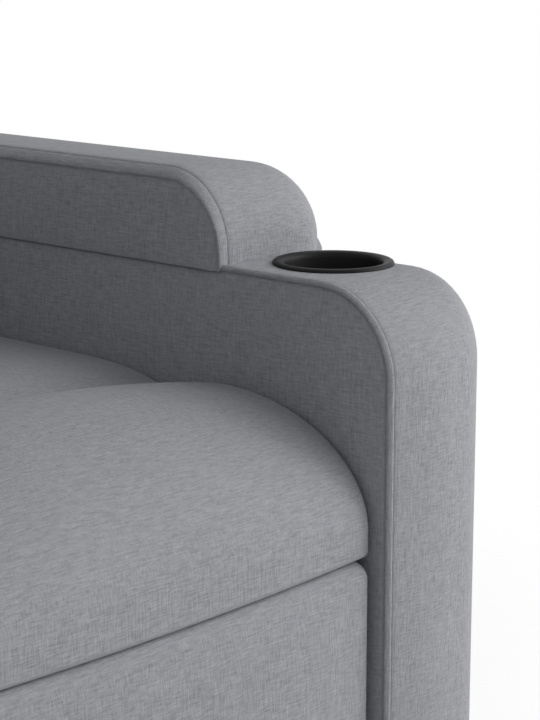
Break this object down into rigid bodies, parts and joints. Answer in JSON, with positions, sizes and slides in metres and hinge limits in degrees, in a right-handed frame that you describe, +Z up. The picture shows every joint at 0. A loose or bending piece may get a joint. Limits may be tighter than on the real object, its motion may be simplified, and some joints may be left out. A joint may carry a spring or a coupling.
{
  "type": "lift recliner chair",
  "caption": "Upholstered lift recliner with raised arm pads, cup holders, a linked back and footrest, and a power lift base under the seat.",
  "frame": {"origin": "on the floor under the middle of the closed chair", "axes": "+Z up, +X to the sitter's left, +Y to the rear; the chair faces -Y"},
  "size_m": [0.856, 0.9499, 1.0426],
  "materials": {
    "cover_fabric": "woven linen-look upholstery fabric, light grey",
    "frame_steel": "satin black powder coat",
    "plated_steel": "bright zinc plated steel",
    "frame_wood": "plain sawn softwood and plywood",
    "drive_plastic": "matte black moulded housing",
    "cup_plastic": "semi-gloss black moulding",
    "handset_plastic": "fine-grained black moulding",
    "key_plastic": "soft grey keys",
    "glide_rubber": "black rubber"
  },
  "bodies": {
    "base": {"floor_glides": "glide_rubber", "base_side_rails": "frame_steel", "base_cross_tubes": "frame_steel", "base_pivot_brackets": "frame_steel", "base_pivot_pins": "plated_steel", "power_supply": "drive_plastic"},
    "lift_arm": {"lift_arms": "frame_steel", "lift_torque_tube": "frame_steel", "lift_arm_pins": "plated_steel"},
    "front_link": {"front_links": "frame_steel"},
    "lift_drive": {"lift_drive_motor": "drive_plastic", "lift_drive_tube": "plated_steel"},
    "lift_rod": {"lift_drive_rod": "plated_steel"},
    "chassis": {"chassis_side_plates": "frame_steel", "chassis_cross_tubes": "frame_steel", "chassis_pins": "plated_steel", "seat_frame": "frame_wood", "seat_springs": "plated_steel", "seat_cushion": "cover_fabric", "left_arm_frame": "frame_wood", "right_arm_frame": "frame_wood", "left_arm_cover": "cover_fabric", "right_arm_cover": "cover_fabric", "left_arm_pad": "cover_fabric", "right_arm_pad": "cover_fabric", "left_cup_holder": "cup_plastic", "right_cup_holder": "cup_plastic", "lower_back_panel": "cover_fabric", "arm_bolts": "plated_steel", "control_box": "drive_plastic", "left_side_pocket": "cover_fabric", "right_side_pocket": "cover_fabric", "handset_body": "handset_plastic"},
    "lift_key": {"handset_lift_key": "key_plastic"},
    "lower_key": {"handset_lower_key": "key_plastic"},
    "recline_key": {"handset_recline_key": "key_plastic"},
    "upright_key": {"handset_upright_key": "key_plastic"},
    "drive_link": {"footrest_drive_links": "frame_steel", "footrest_drive_tube": "frame_steel", "footrest_drive_rivets": "plated_steel"},
    "rear_link": {"footrest_rear_links": "frame_steel"},
    "long_link": {"footrest_long_links": "frame_steel", "footrest_long_rivets": "plated_steel"},
    "upper_link": {"footrest_upper_links": "frame_steel"},
    "footrest": {"footrest_brackets": "frame_steel", "footrest_bracket_rivets": "plated_steel", "footrest_board": "frame_wood", "footrest_cushion": "cover_fabric"},
    "backrest": {"back_frame": "frame_wood", "back_brackets": "frame_steel", "back_springs": "plated_steel", "lumbar_cushion": "cover_fabric", "middle_cushion": "cover_fabric", "head_cushion": "cover_fabric", "back_rear_cover": "cover_fabric", "back_rivets": "plated_steel"},
    "recline_drive": {"recline_drive_motor": "drive_plastic", "recline_drive_tube": "plated_steel"},
    "recline_rod": {"recline_drive_rod": "plated_steel"},
    "drag_link": {"drag_links": "frame_steel"}
  },
  "joints": [
    {"name": "lift", "type": "hinge", "parent": "base", "child": "lift_arm", "pos_m": [0, -0.19, 0.075], "axis": [1, 0, 0], "range_deg": [0, 52]},
    {"name": "chassis_tilt", "type": "hinge", "parent": "lift_arm", "child": "chassis", "pos_m": [0, 0.15, 0.095], "axis": [-1, 0, 0], "range_deg": [0, 33]},
    {"name": "front_link_swing", "type": "hinge", "parent": "base", "child": "front_link", "pos_m": [0, -0.2694, 0.0654], "axis": [1, 0, 0], "range_deg": [0, 58.69]},
    {"name": "lift_drive_swing", "type": "hinge", "parent": "base", "child": "lift_drive", "pos_m": [0, 0.0346, 0.061], "axis": [1, 0, 0], "range_deg": [0, 26]},
    {"name": "lift_rod_travel", "type": "slide", "parent": "lift_drive", "child": "lift_rod", "axis": [0, -0.5653, 0.8249], "range_m": [0, 0.12746]},
    {"name": "recline", "type": "hinge", "parent": "chassis", "child": "backrest", "pos_m": [0, 0.165, 0.345], "axis": [-1, 0, 0], "range_deg": [0, 42]},
    {"name": "recline_drive_swing", "type": "hinge", "parent": "chassis", "child": "recline_drive", "pos_m": [0, -0.011, 0.3076], "axis": [-1, 0, 0], "range_deg": [0, 21]},
    {"name": "recline_rod_travel", "type": "slide", "parent": "recline_drive", "child": "recline_rod", "axis": [0, -0.9336, 0.3584], "range_m": [0, 0.09029]},
    {"name": "drag_link_swing", "type": "hinge", "parent": "backrest", "child": "drag_link", "pos_m": [0, 0.1417, 0.2877], "axis": [1, 0, 0], "range_deg": [0, 44.1]},
    {"name": "drive_link_swing", "type": "hinge", "parent": "chassis", "child": "drive_link", "pos_m": [0, -0.27, 0.25], "axis": [-1, 0, 0], "range_deg": [0, 90]},
    {"name": "rear_link_swing", "type": "hinge", "parent": "chassis", "child": "rear_link", "pos_m": [0, -0.2241, 0.2862], "axis": [-1, 0, 0], "range_deg": [0, 81.54]},
    {"name": "long_link_swing", "type": "hinge", "parent": "drive_link", "child": "long_link", "pos_m": [0, -0.29865, 0.08751], "axis": [1, 0, 0], "range_deg": [0, 127]},
    {"name": "upper_link_swing", "type": "hinge", "parent": "drive_link", "child": "upper_link", "pos_m": [0, -0.3087, 0.1299], "axis": [1, 0, 0], "range_deg": [0, 126.66]},
    {"name": "footrest_tilt", "type": "hinge", "parent": "long_link", "child": "footrest", "pos_m": [0, -0.385, 0.25], "axis": [-1, 0, 0], "range_deg": [0, 122]},
    {"name": "lift_key_press", "type": "slide", "parent": "chassis", "child": "lift_key", "axis": [1, 0, 0], "range_m": [0, 0.0015], "stiffness_N_per_m": 400},
    {"name": "lower_key_press", "type": "slide", "parent": "chassis", "child": "lower_key", "axis": [1, 0, 0], "range_m": [0, 0.0015], "stiffness_N_per_m": 400},
    {"name": "recline_key_press", "type": "slide", "parent": "chassis", "child": "recline_key", "axis": [1, 0, 0], "range_m": [0, 0.0015], "stiffness_N_per_m": 400},
    {"name": "upright_key_press", "type": "slide", "parent": "chassis", "child": "upright_key", "axis": [1, 0, 0], "range_m": [0, 0.0015], "stiffness_N_per_m": 400}
  ],
  "couplings": [
    {"joint": "chassis_tilt", "follows": "lift", "ratio": 0.63462},
    {"joint": "front_link_swing", "follows": "lift", "ratio": 1.1287},
    {"joint": "lift_drive_swing", "follows": "lift", "ratio": 0.5},
    {"joint": "lift_rod_travel", "follows": "lift", "m_per_rad": 0.14044},
    {"joint": "recline_drive_swing", "follows": "recline", "ratio": 0.5},
    {"joint": "recline_rod_travel", "follows": "recline", "m_per_rad": 0.12317},
    {"joint": "drag_link_swing", "follows": "recline", "ratio": 1.05},
    {"joint": "drive_link_swing", "follows": "recline", "ratio": 2.1429},
    {"joint": "rear_link_swing", "follows": "recline", "ratio": 1.9414},
    {"joint": "long_link_swing", "follows": "recline", "ratio": 3.0238},
    {"joint": "upper_link_swing", "follows": "recline", "ratio": 3.0157},
    {"joint": "footrest_tilt", "follows": "recline", "ratio": 2.9048}
  ]
}
